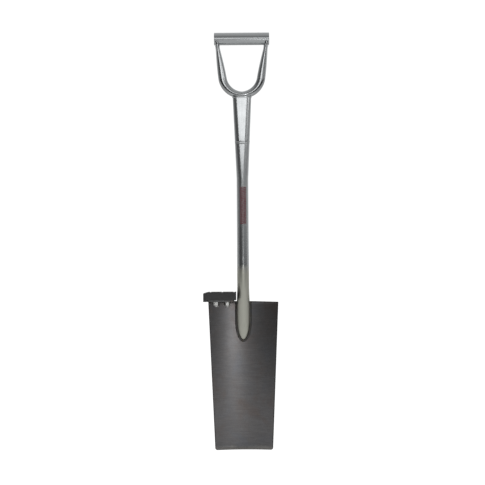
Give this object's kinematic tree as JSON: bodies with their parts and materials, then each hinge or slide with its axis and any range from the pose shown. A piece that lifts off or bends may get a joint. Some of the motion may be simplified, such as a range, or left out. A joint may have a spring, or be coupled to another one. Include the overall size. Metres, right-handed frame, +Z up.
{
  "type": "garden spade",
  "caption": "All-steel nursery spade with a long narrow dished blade, welded tubular shaft, D-shaped handle and a bolted rubber foot cushion.",
  "frame": {"origin": "centre of the cross grip, on its axis", "axes": "+X to the right when facing the blade's front, along the grip; +Y to the back; +Z up the shaft away from the cutting edge"},
  "size_m": [0.191, 0.0532, 1.0635],
  "materials": {
    "blade_steel": "heat-treated plate with dark mill scale, satin",
    "tube_steel": "bright drawn steel tube, lightly polished and lacquered",
    "grip_steel": "bright drawn steel tube, lightly polished",
    "weld_metal": "as-welded bead, dark",
    "tread_steel": "dark satin",
    "black_rubber": "moulded, matt",
    "zinc_plate": "bright zinc plate",
    "white_nylon": "natural nylon",
    "printed_film": null
  },
  "bodies": {
    "root": {"blade": "blade_steel", "shaft_tube": "tube_steel", "tongue_weld": "weld_metal", "handle_socket": "tube_steel", "socket_weld": "tube_steel", "yoke": "tube_steel", "yoke_weld": "tube_steel", "grip_tube": "grip_steel", "left_grip_weld": "tube_steel", "right_grip_weld": "tube_steel", "left_grip_plug": "grip_steel", "right_grip_plug": "grip_steel", "shaft_decal": "printed_film", "tread_plate": "tread_steel", "tread_welds": "weld_metal", "foot_cushion": "black_rubber", "cushion_bolts": "zinc_plate", "cushion_washers": "zinc_plate", "tread_washers": "zinc_plate", "lock_nuts": "zinc_plate", "nut_inserts": "white_nylon"}
  },
  "joints": []
}
